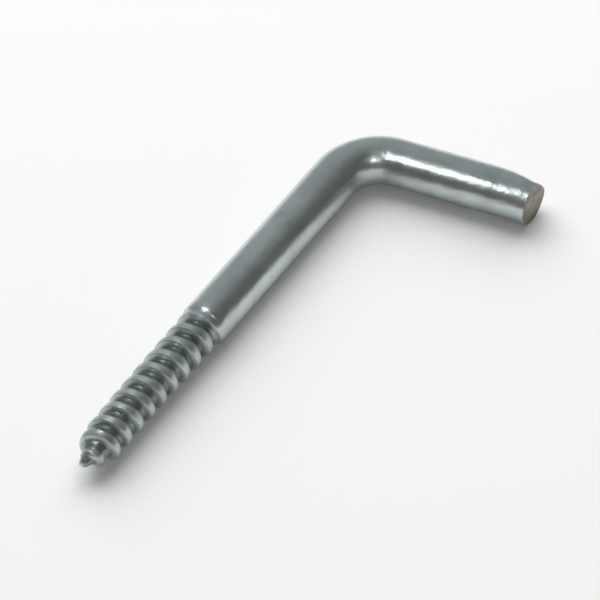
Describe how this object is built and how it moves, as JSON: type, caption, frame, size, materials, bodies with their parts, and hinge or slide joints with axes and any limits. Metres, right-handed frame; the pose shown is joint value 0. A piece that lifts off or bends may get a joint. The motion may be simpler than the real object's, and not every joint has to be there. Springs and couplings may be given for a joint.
{
  "type": "screw hook",
  "caption": "Square bend screw hook of zinc plated steel wire: a plain shank with a coarse wood thread and gimlet point, and a bare sheared arm.",
  "frame": {"origin": "on the shank's axis where the thread starts, which is the face of the wall it screws into", "axes": "+X along the shank towards the point, +Y on the side the arm leaves the bend, +Z normal to the plane of the bend; the hook lies flat on its -Z side"},
  "size_m": [0.0463, 0.0184, 0.0041],
  "materials": {
    "zinc_steel": "bright zinc plating"
  },
  "bodies": {
    "root": {"screw_hook": "zinc_steel"}
  },
  "joints": []
}
